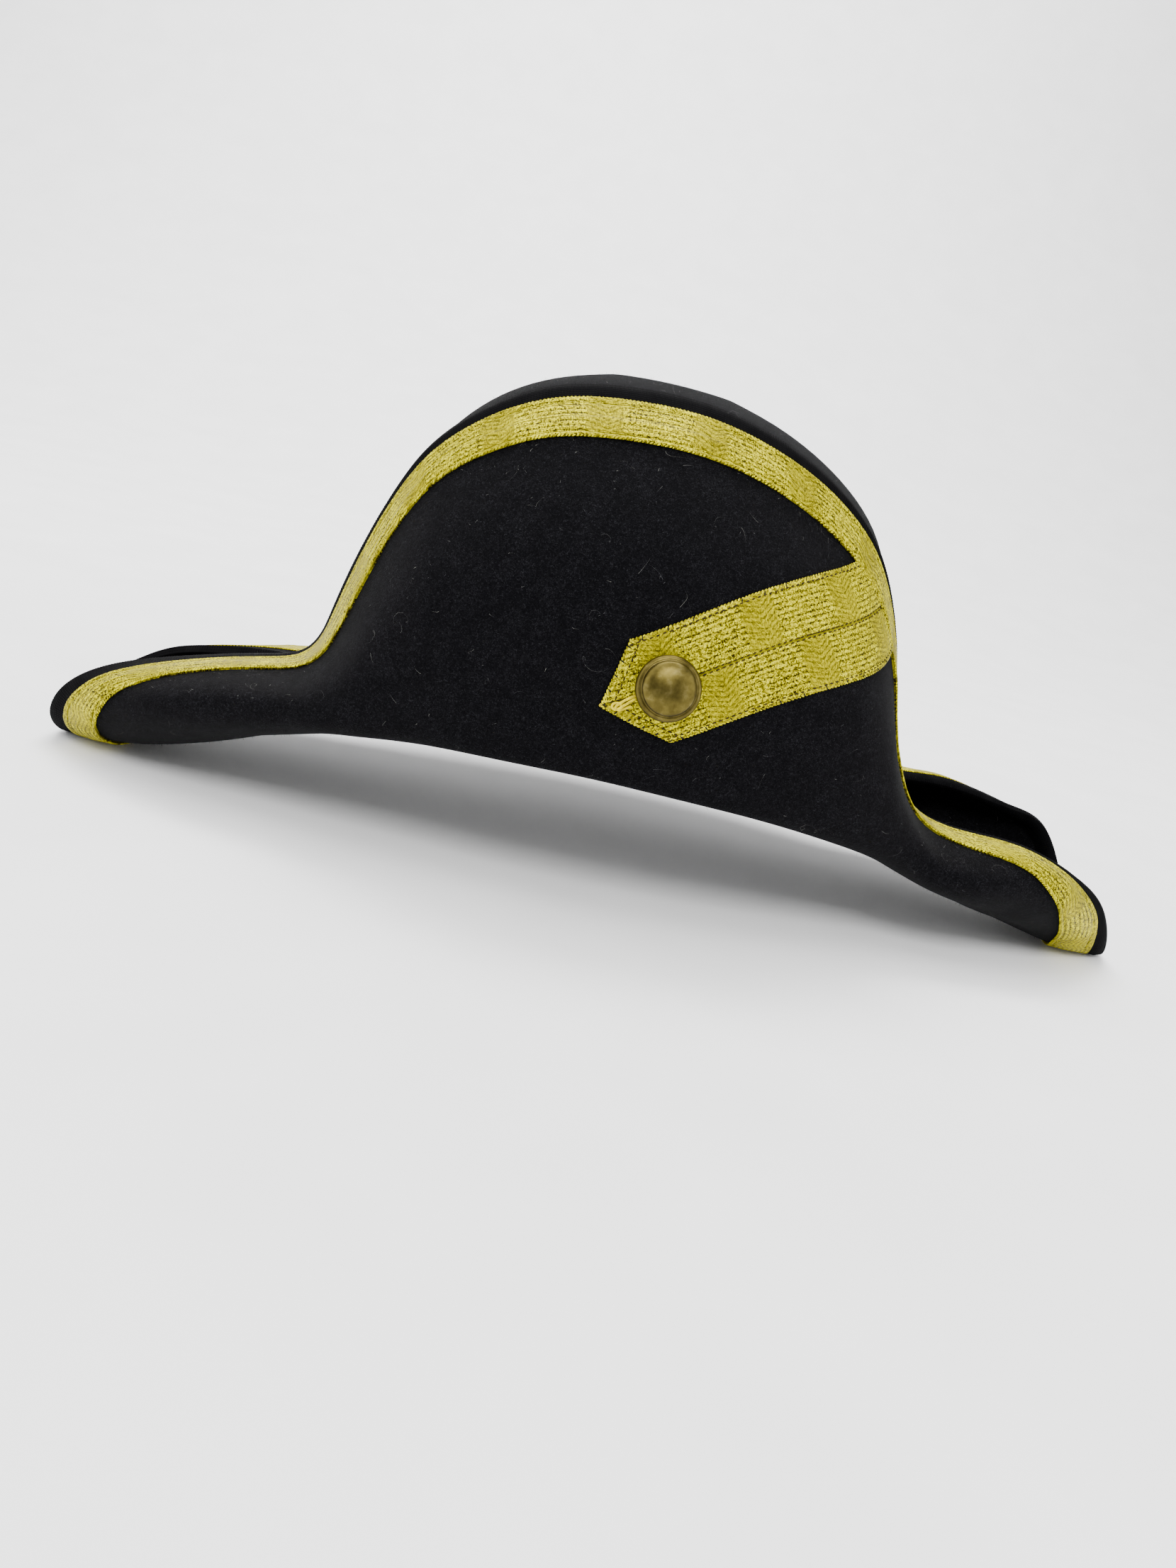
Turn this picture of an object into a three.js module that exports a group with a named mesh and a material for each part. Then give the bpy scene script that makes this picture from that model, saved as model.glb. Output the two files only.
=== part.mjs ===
// Fore-and-aft bicorne in stiff black felt, with a ribbon-bound edge, gold lace and a gilt button.
// Millimetres, +Z up. It stands on its two brim tips on z = 0, with its front at -X and the
// wearer's left at -Y.
import * as THREE from "three";
import { NURBSCurve } from "three/addons/curves/NURBSCurve.js";

// Head fit: the felt's middle surface where the crown wall turns out into the brim.
const HEAD_HALF_LENGTH = 101.5;
const HEAD_HALF_WIDTH = 85.5;
const HEAD_CENTRE_X = -4.5;
const RIM_HEIGHT_SIDE = 59;
const RIM_HEIGHT_END = 31;

// Crown: a rounded dome above the rim, with its top a little forward of the head's middle. A
// squareness of 2 is an ellipse, and more is fuller.
const CROWN_TOP = 179.5;
const CROWN_FOOT = 16;
const CROWN_LEAN = -4;
const CROWN_SQUARENESS = { long: 2.3, wide: 2.2, high: 2.8 };

// The crown is a little fuller in the middle of its rear shoulder: by this size, about this place.
const REAR_SWELL = { size: 4, x: 84, z: 145, reach: 22, halfWidth: 25 };
const REAR_SWELL_WAY = { x: 0.75, z: 0.66 };

// Thicknesses, and the clearance that one layer keeps from the next.
const FELT = 2.5;
const RIBBON = 0.6;
const LACE = 0.9;
const GAP = 0.4;
const REST_LEVEL = FELT / 2 + GAP + LACE;

// Widths of the trimming, measured in from the brim edge. The binding's nose is rounded to this share
// of its thickness, and the lace stops short of the binding by this share of its last step.
const BINDING_WIDTH = 3.5;
const BINDING_NOSE = 0.6;
const LACE_WIDTH = 15.5;
const LACE_TRIM = 0.12;

// The doubled lace loop on the left flap, laid out flat: girth is measured rearward round the flap
// from the middle of the hat, height from the table. It bows up a little in the middle of its span,
// and its sides start this far behind the tip for each millimetre from the seam.
const LOOP_TIP = { girth: -14, height: 76 };
const LOOP_RISE = THREE.MathUtils.degToRad(25);
const LOOP_BOW = 5.5;
const LOOP_SPAN = 118;
const LOOP_HALF_WIDTH = 17.6;
const LOOP_SETBACK = { upper: 0.75, lower: 1.08 };
const LOOP_SEAM_DEPTH = 0.4;
const LOOP_TO_LACE = 0.8;

// Gilt button, set on the loop's middle line behind its point.
const BUTTON_FROM_TIP = 21;
const BUTTON_RADIUS = 9.9;
const BUTTON_ROLL = 0.8;
const BUTTON_DOME = 5;

// Middle of the whole hat's box as laid out here, brought to the origin at the end.
const BOX_MIDDLE = { x: 2, y: -4 };

// The left half of the brim, front to rear. Each row is one section across the felt, from the rim
// at this angle round the head, under the fold, up the belly of the flap and in to the edge.
// fold, belly and edge are the places that shape it: x, y, z. The right half mirrors it, but for the
// rows with right, where its flap stands lower in front and higher behind.
const SECTIONS = [
  { angle: 0, fold: [-170, 0, 5.5], belly: [-193, 0, 1.5], edge: [-211, 0, 2] },
  { angle: 5, fold: [-169, -22, 8], belly: [-194, -19, 2.8], edge: [-212, -12, 3.6] },
  { angle: 9, fold: [-165, -39, 13], belly: [-196, -36, 12], edge: [-211.5, -23, 12.5] },
  { angle: 13, fold: [-158, -51, 19], belly: [-191, -49, 25], edge: [-203, -27, 25.5],
    right: { belly: [-191, -49, 19.5], edge: [-203, -29, 20.5] } },
  { angle: 18, fold: [-148, -60, 25], belly: [-174, -60, 38], edge: [-183, -25, 36],
    right: { belly: [-174, -60, 30], edge: [-183, -31, 31.5] } },
  { angle: 25, fold: [-130, -68, 32], belly: [-146, -68, 48.5], edge: [-151, -23, 45.5],
    right: { belly: [-146, -68, 36.5], edge: [-151, -32, 37] } },
  { angle: 31, fold: [-114, -75, 38], belly: [-121, -73, 53], edge: [-126, -25, 52.5],
    right: { belly: [-121, -73, 41], edge: [-127, -34, 38] } },
  { angle: 35, fold: [-104, -80, 41], belly: [-107, -77, 58], edge: [-115, -32, 63],
    right: { belly: [-107, -77, 50.5], edge: [-115, -37, 50] } },
  { angle: 40, fold: [-93, -84, 43], belly: [-96, -81, 72], edge: [-109, -38, 81] },
  { angle: 48, fold: [-77, -88, 45.5], belly: [-86, -85, 101], edge: [-100, -43, 109.5] },
  { angle: 56, fold: [-62, -91, 47], belly: [-73, -91, 120], edge: [-84, -47, 141] },
  { angle: 68, fold: [-38, -94, 48], belly: [-46, -97, 130], edge: [-54, -54, 164] },
  { angle: 84, fold: [-8, -96, 49], belly: [-12, -99, 133], edge: [-17, -57, 171.5] },
  { angle: 100, fold: [22, -95, 48], belly: [19, -97, 130], edge: [15, -54, 169] },
  { angle: 116, fold: [52, -92, 46], belly: [47, -91, 121], edge: [45, -49, 158.5] },
  { angle: 130, fold: [77, -87, 42.5], belly: [68, -82, 110], edge: [69, -43, 141] },
  { angle: 142, fold: [97, -81, 38.5], belly: [82.5, -73, 93], edge: [85.5, -36, 114.5] },
  { angle: 149, fold: [109, -77, 35], belly: [88.5, -68, 78], edge: [94, -30, 91] },
  { angle: 154, fold: [119, -73, 31], belly: [99, -67, 60], edge: [101.5, -27, 69] },
  { angle: 158, fold: [129, -70, 27], belly: [114, -68, 47], edge: [109, -29, 53] },
  { angle: 162, fold: [141, -65, 22.5], belly: [135, -70, 44.5], edge: [123, -36, 45] },
  { angle: 166, fold: [154, -58, 18], belly: [159, -66, 46], edge: [149, -41, 45] },
  { angle: 170, fold: [166, -48, 13], belly: [181, -57, 35.5], edge: [176.5, -38, 38.5],
    right: { belly: [181, -57, 37], edge: [176.5, -40, 41.5] } },
  { angle: 174, fold: [175, -34, 9], belly: [197, -40, 18], edge: [200, -30, 24.5],
    right: { belly: [197, -44, 25], edge: [200, -36, 34] } },
  { angle: 177, fold: [180, -19, 6], belly: [202, -21, 2.2], edge: [213, -19, 5] },
  { angle: 180, fold: [181, 0, 5], belly: [202, 0, 0.8], edge: [216.5, 0, 1.4] },
];

// Mesh steps: sections all round the hat, rings over the crown and along a section.
const STATIONS = 76;
const CROWN_RINGS = 8;
const BRIM_RINGS = 11;
const LACE_RINGS = 3;
const SECTION_SAMPLES = 160;
const LOOP_LINES = [-1, -0.66, -0.33, -0.05, 0, 0.05, 0.33, 0.66, 1];
const LOOP_STEPS = 12;
const LOOP_REACH_STEP = 0.5;
const FLAP_SECTIONS = 150;
const FLAP_STEP = 1.5;
const ROLL_STEPS = 4;
const DOME_STEPS = 6;
const BUTTON_SIDES = 24;
const SAME_POINT = 1e-6;

const { cos, sin, min, max, abs, exp, hypot, PI } = Math;
const vector = (x, y, z) => new THREE.Vector3(x, y, z);
const rowCount = SECTIONS.length;

// Row of the table by number, carried on past both ends by reflection in the middle plane.
function tableRow(index) {
  const period = 2 * (rowCount - 1);
  const turns = Math.floor(index / period);
  const wrapped = index - turns * period;
  const mirrored = wrapped >= rowCount;
  const row = SECTIONS[mirrored ? period - wrapped : wrapped];
  const side = mirrored ? -1 : 1;
  const place = ([x, y, z]) => vector(x, side * y, z);
  const angle = (mirrored ? 360 - row.angle : row.angle) + 360 * turns;
  const { belly, edge } = (mirrored && row.right) || row;
  return { angle, fold: place(row.fold), belly: place(belly), edge: place(edge) };
}

// Smooth value between four rows (a Catmull-Rom cubic).
function smooth(before, from, to, after, t) {
  const start = (to - before) / 2;
  const end = (after - from) / 2;
  const cubic = 2 * from - 2 * to + start + end;
  const square = -3 * from + 3 * to - 2 * start - end;
  return ((cubic * t + square) * t + start) * t + from;
}

function smoothRow(position) {
  const index = Math.floor(position);
  const t = position - index;
  const rows = [-1, 0, 1, 2].map((step) => tableRow(index + step));
  const coordinate = (key, axis) => smooth(...rows.map((row) => row[key][axis]), t);
  const place = (key) => vector(coordinate(key, "x"), coordinate(key, "y"), coordinate(key, "z"));
  const angle = smooth(...rows.map((row) => row.angle), t);
  return { angle, fold: place("fold"), belly: place("belly"), edge: place("edge") };
}

// A point of the crown wall: shares of 1 give the full head oval, and they shrink towards the top.
function headPoint(angle, height, longShare = 1, wideShare = 1) {
  const turn = THREE.MathUtils.degToRad(angle);
  const x = HEAD_CENTRE_X - HEAD_HALF_LENGTH * longShare * cos(turn);
  return vector(x, -HEAD_HALF_WIDTH * wideShare * sin(turn), height);
}

function rimHeight(angle) {
  const forward = cos(THREE.MathUtils.degToRad(angle)) ** 2;
  return RIM_HEIGHT_SIDE + (RIM_HEIGHT_END - RIM_HEIGHT_SIDE) * forward;
}

// One section of the brim as a clamped cubic curve, from the crown wall to the brim edge.
const SECTION_KNOTS = [0, 0, 0, 0, 1, 2, 3, 3, 3, 3];
const FLOOR_REACH = 0.45;
const FLOOR_SAG_END = 0.55;
const FLOOR_SAG_SIDE = 0.85;

function brimSection(row) {
  const height = rimHeight(row.angle);
  const wall = headPoint(row.angle, height + CROWN_FOOT);
  const rim = headPoint(row.angle, height);
  const sideways = sin(THREE.MathUtils.degToRad(row.angle)) ** 2;
  const sag = FLOOR_SAG_END + (FLOOR_SAG_SIDE - FLOOR_SAG_END) * sideways;
  const floor = rim.clone().lerp(row.fold, FLOOR_REACH);
  floor.z = THREE.MathUtils.lerp(height, row.fold.z, sag);
  const controls = [wall, rim, floor, row.fold, row.belly, row.edge];
  return new NURBSCurve(3, SECTION_KNOTS, controls.map((p) => new THREE.Vector4(p.x, p.y, p.z, 1)));
}

const rowsAround = 2 * (rowCount - 1);
const stations = Array.from({ length: STATIONS }, (_, i) => smoothRow((i * rowsAround) / STATIONS));
const sections = stations.map((row) => brimSection(row));
const sampled = sections.map((section) => section.getPoints(SECTION_SAMPLES));
const edgeLine = stations.map((row) => row.edge);

function distanceToEdge(point) {
  const nearest = vector(0, 0, 0);
  const stretch = new THREE.Line3();
  let shortest = Infinity;
  edgeLine.forEach((corner, i) => {
    stretch.set(corner, edgeLine[(i + 1) % STATIONS]);
    stretch.closestPointToPoint(point, true, nearest);
    shortest = min(shortest, nearest.distanceTo(point));
  });
  return shortest;
}

// Where a section, followed inwards from its edge, is the given distance from the brim edge.
function insetAt(stationIndex, distance) {
  const points = sampled[stationIndex];
  let k = SECTION_SAMPLES;
  let near = 0;
  let far = 0;
  while (far < distance) {
    near = far;
    k -= 1;
    far = distanceToEdge(points[k]);
  }
  return (k + (far - distance) / (far - near)) / SECTION_SAMPLES;
}

// How far the crown swells at a point: most at the middle of the rear shoulder, and fading out round it.
function rearSwell(point) {
  const away = hypot(point.x - REAR_SWELL.x, point.z - REAR_SWELL.z) / REAR_SWELL.reach;
  const aside = point.y / REAR_SWELL.halfWidth;
  return REAR_SWELL.size * exp(-(away ** 2 + aside ** 2) / 2);
}

// The felt's middle surface as rings of points, from just under the top of the crown to the edge.
const crownRings = Array.from({ length: CROWN_RINGS }, (_, k) => {
  const rise = (PI / 2) * (1 - (k + 1) / (CROWN_RINGS + 1));
  const longShare = cos(rise) ** (2 / CROWN_SQUARENESS.long);
  const wideShare = cos(rise) ** (2 / CROWN_SQUARENESS.wide);
  const highShare = sin(rise) ** (2 / CROWN_SQUARENESS.high);
  return stations.map(({ angle }) => {
    const foot = rimHeight(angle) + CROWN_FOOT;
    const height = foot + (CROWN_TOP - FELT / 2 - foot) * highShare;
    const point = headPoint(angle, height, longShare, wideShare);
    point.x += CROWN_LEAN * highShare ** 2;
    const swell = rearSwell(point);
    point.x += swell * REAR_SWELL_WAY.x;
    point.z += swell * REAR_SWELL_WAY.z;
    return point;
  });
});

const laceStart = stations.map((_, i) => insetAt(i, BINDING_WIDTH + LACE_WIDTH));
const laceEnd = stations.map((_, i) => insetAt(i, BINDING_WIDTH));

// One ring of the brim's middle surface, pressed level where the hat stands on its tips.
function ringAlong(from, to, share) {
  const ring = sections.map((section, i) => section.getPoint(from[i] + (to[i] - from[i]) * share));
  ring.forEach((point) => {
    point.z = max(point.z, REST_LEVEL);
  });
  return ring;
}
const rimStart = stations.map(() => 0);
const edgeEnd = stations.map(() => 1);

const rings = [...crownRings];
for (let k = 0; k < BRIM_RINGS; k++) rings.push(ringAlong(rimStart, laceStart, k / BRIM_RINGS));
const laceRing = rings.length;
for (let k = 0; k < LACE_RINGS; k++) rings.push(ringAlong(laceStart, laceEnd, k / LACE_RINGS));
const bindingRing = rings.length;
rings.push(ringAlong(laceEnd, edgeEnd, 0));
const edgeRing = rings.length;
rings.push(ringAlong(laceEnd, edgeEnd, 1));

// Unit vectors at each ring point: out is away from the crown's hollow, along leads to the edge.
function frameAt(ringIndex, i) {
  const ring = rings[ringIndex];
  const round = ring[(i + 1) % STATIONS].clone().sub(ring[(i + STATIONS - 1) % STATIONS]);
  const inner = rings[max(ringIndex - 1, 0)][i];
  const outer = rings[min(ringIndex + 1, edgeRing)][i];
  const out = outer.clone().sub(inner).cross(round).normalize();
  const along = round.clone().cross(out).normalize();
  return { out, along };
}
const frames = rings.map((ring, k) => ring.map((_, i) => frameAt(k, i)));

// A ring moved off the middle surface: lift along out, and push past the edge.
function offsetRing(ringIndex, lift, push = 0) {
  return rings[ringIndex].map((point, i) => {
    const { out, along } = frames[ringIndex][i];
    return point.clone().addScaledVector(out, lift).addScaledVector(along, push);
  });
}

// Triangles between rings of equal length, each four-sided patch split along its shorter diagonal.
// A ring of one repeated point closes to a pole.
function ringGeometry(loops, closed) {
  const count = loops[0].length;
  const points = loops.flat();
  const index = [];
  const apart = (a, b) => points[a].distanceTo(points[b]);
  const triangle = (a, b, c) => {
    if (min(apart(a, b), apart(b, c), apart(c, a)) > SAME_POINT) index.push(a, b, c);
  };
  const spans = closed ? loops.length : loops.length - 1;
  for (let k = 0; k < spans; k++) {
    const next = (k + 1) % loops.length;
    for (let i = 0; i < count; i++) {
      const j = (i + 1) % count;
      const [a, b, c, d] = [k * count + i, next * count + i, next * count + j, k * count + j];
      if (apart(a, c) <= apart(b, d)) {
        triangle(a, b, c);
        triangle(a, c, d);
      } else {
        triangle(a, b, d);
        triangle(b, c, d);
      }
    }
  }
  const geometry = new THREE.BufferGeometry();
  const numbers = points.flatMap((p) => [p.x, p.y, p.z]);
  geometry.setAttribute("position", new THREE.Float32BufferAttribute(numbers, 3));
  geometry.setIndex(index);
  geometry.computeVertexNormals();
  return geometry;
}

const material = (color, roughness, metalness) =>
  new THREE.MeshStandardMaterial({ color, roughness, metalness });
const blackFelt = material("#0b0b0e", 0.95, 0);
const blackRibbon = material("#121212", 0.7, 0);
const goldLace = material("#d8cb32", 0.45, 0.4);
const giltBrass = material("#8f7f45", 0.3, 1);

function namedMesh(name, geometry, finish) {
  const mesh = new THREE.Mesh(geometry, finish);
  mesh.name = name;
  return mesh;
}

// Crown and brim in one felt wall: down the outside of the crown to the brim edge, and back inside.
function feltBody() {
  const pole = (height) => stations.map(() => vector(HEAD_CENTRE_X + CROWN_LEAN, 0, height));
  const outside = rings.map((_, k) => offsetRing(k, FELT / 2));
  const inside = rings.map((_, k) => offsetRing(k, -FELT / 2));
  const loops = [pole(CROWN_TOP), ...outside, ...inside.reverse(), pole(CROWN_TOP - FELT)];
  return namedMesh("felt_body", ringGeometry(loops, false), blackFelt);
}

// Ribbon folded over the felt's edge, as one closed channel.
function edgeBinding() {
  const inner = FELT / 2 + GAP;
  const outer = inner + RIBBON;
  const shoulder = BINDING_NOSE * outer;
  const nose = GAP + 2 * RIBBON;
  const loops = [
    offsetRing(bindingRing, outer),
    offsetRing(edgeRing, outer),
    offsetRing(edgeRing, shoulder, nose),
    offsetRing(edgeRing, -shoulder, nose),
    offsetRing(edgeRing, -outer),
    offsetRing(bindingRing, -outer),
    offsetRing(bindingRing, -inner),
    offsetRing(edgeRing, -inner, GAP),
    offsetRing(edgeRing, inner, GAP),
    offsetRing(bindingRing, inner),
  ];
  return namedMesh("edge_binding", ringGeometry(loops, true), blackRibbon);
}

// Gold lace on the brim's outer face, from the binding inwards, all the way round. The hat stands
// on its flat places at the two tips.
function edgeLace() {
  const inner = FELT / 2 + GAP;
  const spread = Array.from({ length: LACE_RINGS + 1 }, (_, k) => laceRing + k);
  const under = spread.map((k) => offsetRing(k, -inner));
  const face = spread.map((k) => offsetRing(k, -inner - LACE));
  face.flat().forEach((point) => {
    point.z = max(point.z, 0);
  });
  const trimmed = (loops) => {
    const last = loops.length - 1;
    loops[last] = loops[last].map((point, i) => point.clone().lerp(loops[last - 1][i], LACE_TRIM));
    return loops;
  };
  const loops = [...trimmed(under), ...trimmed(face).reverse()];
  return namedMesh("edge_lace", ringGeometry(loops, true), goldLace);
}

// Closer sections of the left flap for laying the loop on it, each from its lowest point up.
const flapSections = Array.from({ length: FLAP_SECTIONS + 1 }, (_, i) => {
  const row = smoothRow((i * (rowCount - 1)) / FLAP_SECTIONS);
  const points = brimSection(row).getPoints(SECTION_SAMPLES);
  const lowest = points.reduce((best, p, k) => (p.z < points[best].z ? k : best), 0);
  return points.slice(lowest);
});

// The level line round the flap's middle surface at one height, front to rear.
function flapLine(height) {
  const crossings = flapSections.map((points) => {
    const above = points.findIndex((p) => p.z >= height);
    if (above < 1) return null;
    const [low, high] = [points[above - 1], points[above]];
    return low.clone().lerp(high, (height - low.z) / (high.z - low.z));
  });
  return crossings.filter((p) => p !== null);
}

// A place on the flap: walk round its level line from the middle of the hat, rearward for a
// positive girth.
function flapPoint(girth, height) {
  const line = flapLine(height);
  const behind = line.findIndex((p) => p.x > 0);
  const [from, to] = [line[behind - 1], line[behind]];
  const middle = from.clone().lerp(to, -from.x / (to.x - from.x));
  const step = girth < 0 ? -1 : 1;
  let corner = girth < 0 ? behind - 1 : behind;
  let place = middle;
  let left = abs(girth);
  while (place.distanceTo(line[corner]) < left) {
    left -= place.distanceTo(line[corner]);
    place = line[corner];
    corner += step;
  }
  return place.clone().lerp(line[corner], left / place.distanceTo(line[corner]));
}

// Outward normal of the flap, from neighbouring places.
function flapNormal(girth, height) {
  const round = flapPoint(girth + FLAP_STEP, height).sub(flapPoint(girth - FLAP_STEP, height));
  const up = flapPoint(girth, height + FLAP_STEP).sub(flapPoint(girth, height - FLAP_STEP));
  return round.cross(up).normalize();
}

// Flat layout of the loop laid on the flap: along is from its point, across is up from its seam.
function loopLayout(along, across) {
  const girth = LOOP_TIP.girth + along * cos(LOOP_RISE) - across * sin(LOOP_RISE);
  const bow = LOOP_BOW * sin((PI * along) / LOOP_SPAN) ** 2;
  const height = LOOP_TIP.height + along * sin(LOOP_RISE) + across * cos(LOOP_RISE) + bow;
  return [girth, height];
}

function loopPlace(along, across, lift) {
  const layout = loopLayout(along, across);
  return flapPoint(...layout).addScaledVector(flapNormal(...layout), lift);
}

// The pointed end: how far a line of the loop starts behind the tip.
function loopStart(across) {
  return across > 0 ? across * LOOP_SETBACK.upper : -across * LOOP_SETBACK.lower;
}

// How far the loop runs before it meets the edge lace.
function loopReach(across) {
  const stop = BINDING_WIDTH + LACE_WIDTH + LOOP_TO_LACE;
  let along = loopStart(across);
  while (distanceToEdge(flapPoint(...loopLayout(along, across))) > stop) along += LOOP_REACH_STEP;
  return along;
}

// Two tapes of lace side by side, one length folded to a square point, with a seam down the middle.
function loopLace() {
  const widths = LOOP_LINES.map((share) => share * LOOP_HALF_WIDTH);
  const reaches = widths.map((across) => loopReach(across));
  const layer = (share, lift) =>
    widths.map((across, k) => {
      const start = loopStart(across);
      return loopPlace(start + (reaches[k] - start) * share, across, lift(across));
    });
  const crossLoop = (share, top, bottom) => [...layer(share, top), ...layer(share, bottom).reverse()];
  const back = FELT / 2 + GAP;
  const under = () => back;
  const middle = () => back + LACE / 2;
  const face = (across) => back + LACE - (across === 0 ? LOOP_SEAM_DEPTH : 0);
  const loops = [crossLoop(0, middle, middle)];
  for (let m = 0; m <= LOOP_STEPS; m++) loops.push(crossLoop(m / LOOP_STEPS, face, under));
  loops.push(crossLoop(1, middle, middle));
  return namedMesh("loop_lace", ringGeometry(loops, false), goldLace);
}

// Domed button on the loop's seam: a rolled rim and a round face.
function gildedButton() {
  const crest = BUTTON_RADIUS - BUTTON_ROLL;
  const roll = Array.from({ length: ROLL_STEPS + 1 }, (_, k) => {
    const turn = -PI / 2 + (k * PI) / ROLL_STEPS;
    return new THREE.Vector2(crest + BUTTON_ROLL * cos(turn), BUTTON_ROLL * (1 + sin(turn)));
  });
  const dome = Array.from({ length: DOME_STEPS }, (_, k) => {
    const rise = ((k + 1) / DOME_STEPS) * (PI / 2);
    const reach = (crest - BUTTON_ROLL / 2) * cos(rise);
    return new THREE.Vector2(reach, 2 * BUTTON_ROLL + BUTTON_DOME * sin(rise));
  });
  dome[DOME_STEPS - 1].x = 0;
  const profile = [new THREE.Vector2(0, 0), ...roll, ...dome];
  const button = namedMesh("button", new THREE.LatheGeometry(profile, BUTTON_SIDES), giltBrass);
  button.position.copy(loopPlace(BUTTON_FROM_TIP, 0, FELT / 2 + GAP + LACE + GAP));
  const normal = flapNormal(...loopLayout(BUTTON_FROM_TIP, 0));
  button.quaternion.setFromUnitVectors(vector(0, 1, 0), normal);
  return button;
}

const hat = new THREE.Group();
hat.add(feltBody(), edgeBinding(), edgeLace(), loopLace(), gildedButton());
hat.position.set(-BOX_MIDDLE.x, -BOX_MIDDLE.y, 0);

export default hat;
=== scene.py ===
# %% [markdown]
# # A fore-and-aft bicorne in black felt
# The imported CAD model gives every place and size. This lesson dresses it: the felt is smoothed and given
# its nap, the brim's edge gets a ribbed ribbon and gold lace, and the flap gets its lace loop and button.

# %% load the frame
import math
import bmesh
import bpy
import numpy as np
from mathutils import Matrix, Vector
from mathutils.bvhtree import BVHTree


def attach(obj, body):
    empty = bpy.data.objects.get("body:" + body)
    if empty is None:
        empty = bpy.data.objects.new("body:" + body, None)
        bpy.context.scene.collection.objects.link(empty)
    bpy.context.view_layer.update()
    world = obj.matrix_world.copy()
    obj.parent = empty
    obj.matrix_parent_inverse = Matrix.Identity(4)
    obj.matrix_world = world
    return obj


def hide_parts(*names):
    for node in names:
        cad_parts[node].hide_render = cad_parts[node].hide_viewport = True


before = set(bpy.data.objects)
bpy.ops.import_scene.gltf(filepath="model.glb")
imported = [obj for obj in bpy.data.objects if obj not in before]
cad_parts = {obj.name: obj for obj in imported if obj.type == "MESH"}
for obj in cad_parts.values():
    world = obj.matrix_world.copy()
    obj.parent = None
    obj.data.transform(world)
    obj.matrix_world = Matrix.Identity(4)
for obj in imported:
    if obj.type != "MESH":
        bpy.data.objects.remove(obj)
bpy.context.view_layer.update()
MM = 0.001
chance = np.random.default_rng(1805)

# %% [markdown]
# ## Helpers for the bench
# Blender's operators act on whatever is selected, so each step starts by making one object the whole
# selection. A finished piece rides on the hat's only body, and the CAD node that it stands for is hidden.

# %% selecting, and handing a piece over
def only(piece):
    """Makes one object the whole selection."""
    bpy.ops.object.select_all(action="DESELECT")
    piece.select_set(True)
    bpy.context.view_layer.objects.active = piece


def mode(name):
    """Opens the active object for editing, or closes it again."""
    bpy.ops.object.mode_set(mode=name)


def face_out(piece):
    """Turns a closed piece's faces outward."""
    only(piece)
    mode("EDIT")
    bpy.ops.mesh.select_all(action="SELECT")
    bpy.ops.mesh.normals_make_consistent(inside=False)
    mode("OBJECT")


def piece_from(name, points, faces):
    """A new object at the origin, from points in metres and faces."""
    mesh = bpy.data.meshes.new(name)
    mesh.from_pydata([tuple(p) for p in points], [], [tuple(int(i) for i in f) for f in faces])
    piece = bpy.data.objects.new(name, mesh)
    bpy.context.collection.objects.link(piece)
    return piece


def cloth_map(piece, flat):
    """Gives a piece the UV map of its threads, in metres."""
    piece.data.uv_layers.new(name="cloth").data.foreach_set("uv", flat.ravel().astype(np.float32))


def hand_over(piece, material, node=None):
    """Gives a piece its material, slot and body, and hides the CAD node that it stands for."""
    piece.data.materials.clear()
    piece.data.materials.append(material)
    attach(piece, "root")
    if node:
        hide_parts(node)
    triangles = sum(len(f.vertices) - 2 for f in piece.data.polygons)
    print(f"{piece.name}: {triangles} triangles")


# %% colours and shader nodes
def linear(colour):
    """An sRGB hex value as the linear colour that a shader takes."""
    parts = [int(colour[i:i + 2], 16) / 255 for i in (1, 3, 5)]
    return [p / 12.92 if p <= 0.04045 else ((p + 0.055) / 1.055) ** 2.4 for p in parts] + [1.0]


def add(material, kind, sets=None, links=None):
    """Adds a node, sets its properties and input values, and links sockets to its inputs."""
    made = material.node_tree.nodes.new(kind)
    for key, value in (sets or {}).items():
        if isinstance(key, str) and hasattr(made, key):
            setattr(made, key, value)
        else:
            made.inputs[key].default_value = value
    for key, socket in (links or {}).items():
        material.node_tree.links.new(socket, made.inputs[key])
    return made


def new_material(name):
    """An empty material, ready for its nodes."""
    material = bpy.data.materials.new(name)
    material.use_nodes = True
    material.node_tree.nodes.clear()
    return material


def ramp(material, factor, *stops):
    """A colour ramp from pairs of place and sRGB hex value."""
    made = add(material, "ShaderNodeValToRGB", links={"Fac": factor})
    while len(made.color_ramp.elements) < len(stops):
        made.color_ramp.elements.new(1.0)
    for element, (place, colour) in zip(made.color_ramp.elements, stops):
        element.position = place
        element.color = linear(colour)
    return made.outputs["Color"]


def noise(material, size, place=None, **more):
    """Cloudy noise of this size, by place on the object unless a map is given."""
    if place is None:
        place = add(material, "ShaderNodeTexCoord").outputs["Object"]
    return add(material, "ShaderNodeTexNoise", {"Scale": 1 / size} | more, {"Vector": place}).outputs["Fac"]


def maths(material, operation, *values):
    """One step of reckoning with sockets and numbers."""
    made = add(material, "ShaderNodeMath", {"operation": operation})
    for socket, value in zip(made.inputs, values):
        if isinstance(value, (int, float)):
            socket.default_value = value
        else:
            material.node_tree.links.new(value, socket)
    return made.outputs[0]


def ranged(material, value, limits):
    """A value brought from one range to another."""
    return add(material, "ShaderNodeMapRange", limits, {"Value": value}).outputs["Result"]


def bumped(material, strength, depth, height):
    """The normal of a surface that this height raises and lowers."""
    made = add(material, "ShaderNodeBump", {"Strength": strength, "Distance": depth}, {"Height": height})
    return made.outputs["Normal"]


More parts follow.
